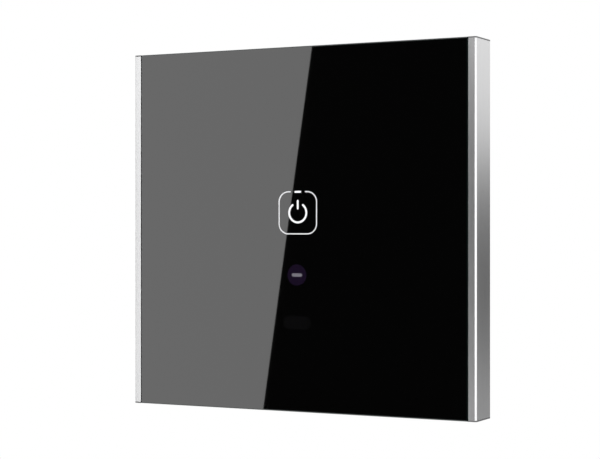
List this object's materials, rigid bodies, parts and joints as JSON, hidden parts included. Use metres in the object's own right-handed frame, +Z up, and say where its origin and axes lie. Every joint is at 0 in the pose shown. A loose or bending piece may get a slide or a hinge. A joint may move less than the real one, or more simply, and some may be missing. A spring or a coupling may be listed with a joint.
{
  "type": "smart light switch",
  "caption": "Square wall-mounted touch light switch: a black glass front between bright metal side rails, clipped to a base frame, with its electronics and screw terminals in a box behind.",
  "frame": {"origin": "on the wall plane, midway between the fixing slots, behind the middle of the front panel", "axes": "+Z up the wall, +X to the right as one looks at the front, +Y into the wall, so the front faces -Y"},
  "size_m": [0.0904, 0.0362, 0.086],
  "materials": {
    "black_glass": "polished",
    "white_print": "printed",
    "purple_window": "polished",
    "grey_window": "polished",
    "dark_window": "polished",
    "black_film": "matt",
    "brushed_rail": "brushed",
    "dark_cap": "satin",
    "black_carrier": "fine texture",
    "black_frame": "fine texture",
    "grey_housing": "fine texture",
    "zinc_screw": "zinc plated",
    "clamp_steel": "zinc plated",
    "spring_steel": "bright",
    "black_block": "moulded",
    "tinned_brass": "stamped",
    "gold_pin": "plated",
    "green_board": "solder mask",
    "white_block": "moulded",
    "clear_guide": "frosted",
    "lamp_white": "moulded",
    "black_epoxy": "moulded",
    "shield_metal": "tinned",
    "blue_cover": "moulded",
    "relay_iron": "nickel plated",
    "copper": "bright",
    "ferrite": "sintered",
    "yellow_tape": "taped",
    "capacitor_sleeve": "sleeved",
    "yellow_case": "moulded",
    "blue_lacquer": "dipped",
    "fuse_case": "moulded"
  },
  "bodies": {
    "base": {"base_frame": "black_frame", "bridge_rectifier": "black_epoxy", "choke": "ferrite", "filter_capacitor": "yellow_case", "fuse": "fuse_case", "header_pins": "gold_pin", "header_strip": "black_block", "housing_screws": "zinc_screw", "infrared_receiver": "black_epoxy", "key_lamp": "lamp_white", "key_light_guide": "clear_guide", "light_block": "white_block", "panel_catches": "spring_steel", "power_board": "green_board", "radio_board": "green_board", "radio_shield": "shield_metal", "rear_housing": "grey_housing", "relay_base": "black_block", "relay_bobbin": "black_block", "relay_coil": "copper", "relay_core": "relay_iron", "relay_cover": "blue_cover", "relay_fixed_contact": "copper", "relay_yoke": "relay_iron", "smoothing_capacitors": "capacitor_sleeve", "status_lamp": "lamp_white", "status_light_guide": "clear_guide", "terminal_block": "black_block", "terminal_plates": "tinned_brass", "touch_board": "green_board", "touch_board_parts": "black_epoxy", "touch_board_screws": "zinc_screw", "touch_chip": "black_epoxy", "touch_spring": "spring_steel", "transformer_coil": "yellow_tape", "transformer_core": "ferrite", "varistor": "blue_lacquer"},
    "front_panel": {"glass_panel": "black_glass", "key_outline": "white_print", "power_symbol": "white_print", "key_light_window": "white_print", "status_window": "purple_window", "status_slot": "grey_window", "receiver_window": "dark_window", "bonding_film": "black_film", "panel_carrier": "black_carrier", "left_side_rail": "brushed_rail", "right_side_rail": "brushed_rail", "rail_end_caps": "dark_cap"},
    "relay_armature": {"relay_armature": "relay_iron", "relay_contact_blade": "copper"},
    "terminal_screw_1": {"terminal_screw_1": "zinc_screw"},
    "terminal_screw_2": {"terminal_screw_2": "zinc_screw"},
    "terminal_screw_3": {"terminal_screw_3": "zinc_screw"},
    "terminal_clamp_1": {"terminal_clamp_1": "clamp_steel"},
    "terminal_clamp_2": {"terminal_clamp_2": "clamp_steel"},
    "terminal_clamp_3": {"terminal_clamp_3": "clamp_steel"}
  },
  "joints": [
    {"name": "panel_release", "type": "slide", "parent": "base", "child": "front_panel", "axis": [0, -1, 0], "range_m": [0, 0.02], "deforming": ["panel_catches"]},
    {"name": "terminal_screw_1_turn", "type": "hinge", "parent": "base", "child": "terminal_screw_1", "pos_m": [-0.00762, 0.025, -0.0225], "axis": [0, -1, 0], "range_deg": [0, 1445]},
    {"name": "terminal_clamp_1_slide", "type": "slide", "parent": "base", "child": "terminal_clamp_1", "axis": [0, 1, 0], "range_m": [0, 0.002]},
    {"name": "terminal_screw_2_turn", "type": "hinge", "parent": "base", "child": "terminal_screw_2", "pos_m": [0, 0.025, -0.0225], "axis": [0, -1, 0], "range_deg": [0, 1445]},
    {"name": "terminal_clamp_2_slide", "type": "slide", "parent": "base", "child": "terminal_clamp_2", "axis": [0, 1, 0], "range_m": [0, 0.002]},
    {"name": "terminal_screw_3_turn", "type": "hinge", "parent": "base", "child": "terminal_screw_3", "pos_m": [0.00762, 0.025, -0.0225], "axis": [0, -1, 0], "range_deg": [0, 1445]},
    {"name": "terminal_clamp_3_slide", "type": "slide", "parent": "base", "child": "terminal_clamp_3", "axis": [0, 1, 0], "range_m": [0, 0.002]},
    {"name": "relay_armature_swing", "type": "hinge", "parent": "base", "child": "relay_armature", "pos_m": [-0.0198, 0.02185, 0.0125], "axis": [0, 0, -1], "range_deg": [0, 3.3], "stiffness_Nm_per_rad": 0.002}
  ],
  "couplings": [
    {"joint": "terminal_screw_1_turn", "follows": "terminal_clamp_1_slide", "rad_per_m": 12566},
    {"joint": "terminal_screw_2_turn", "follows": "terminal_clamp_2_slide", "rad_per_m": 12566},
    {"joint": "terminal_screw_3_turn", "follows": "terminal_clamp_3_slide", "rad_per_m": 12566}
  ]
}
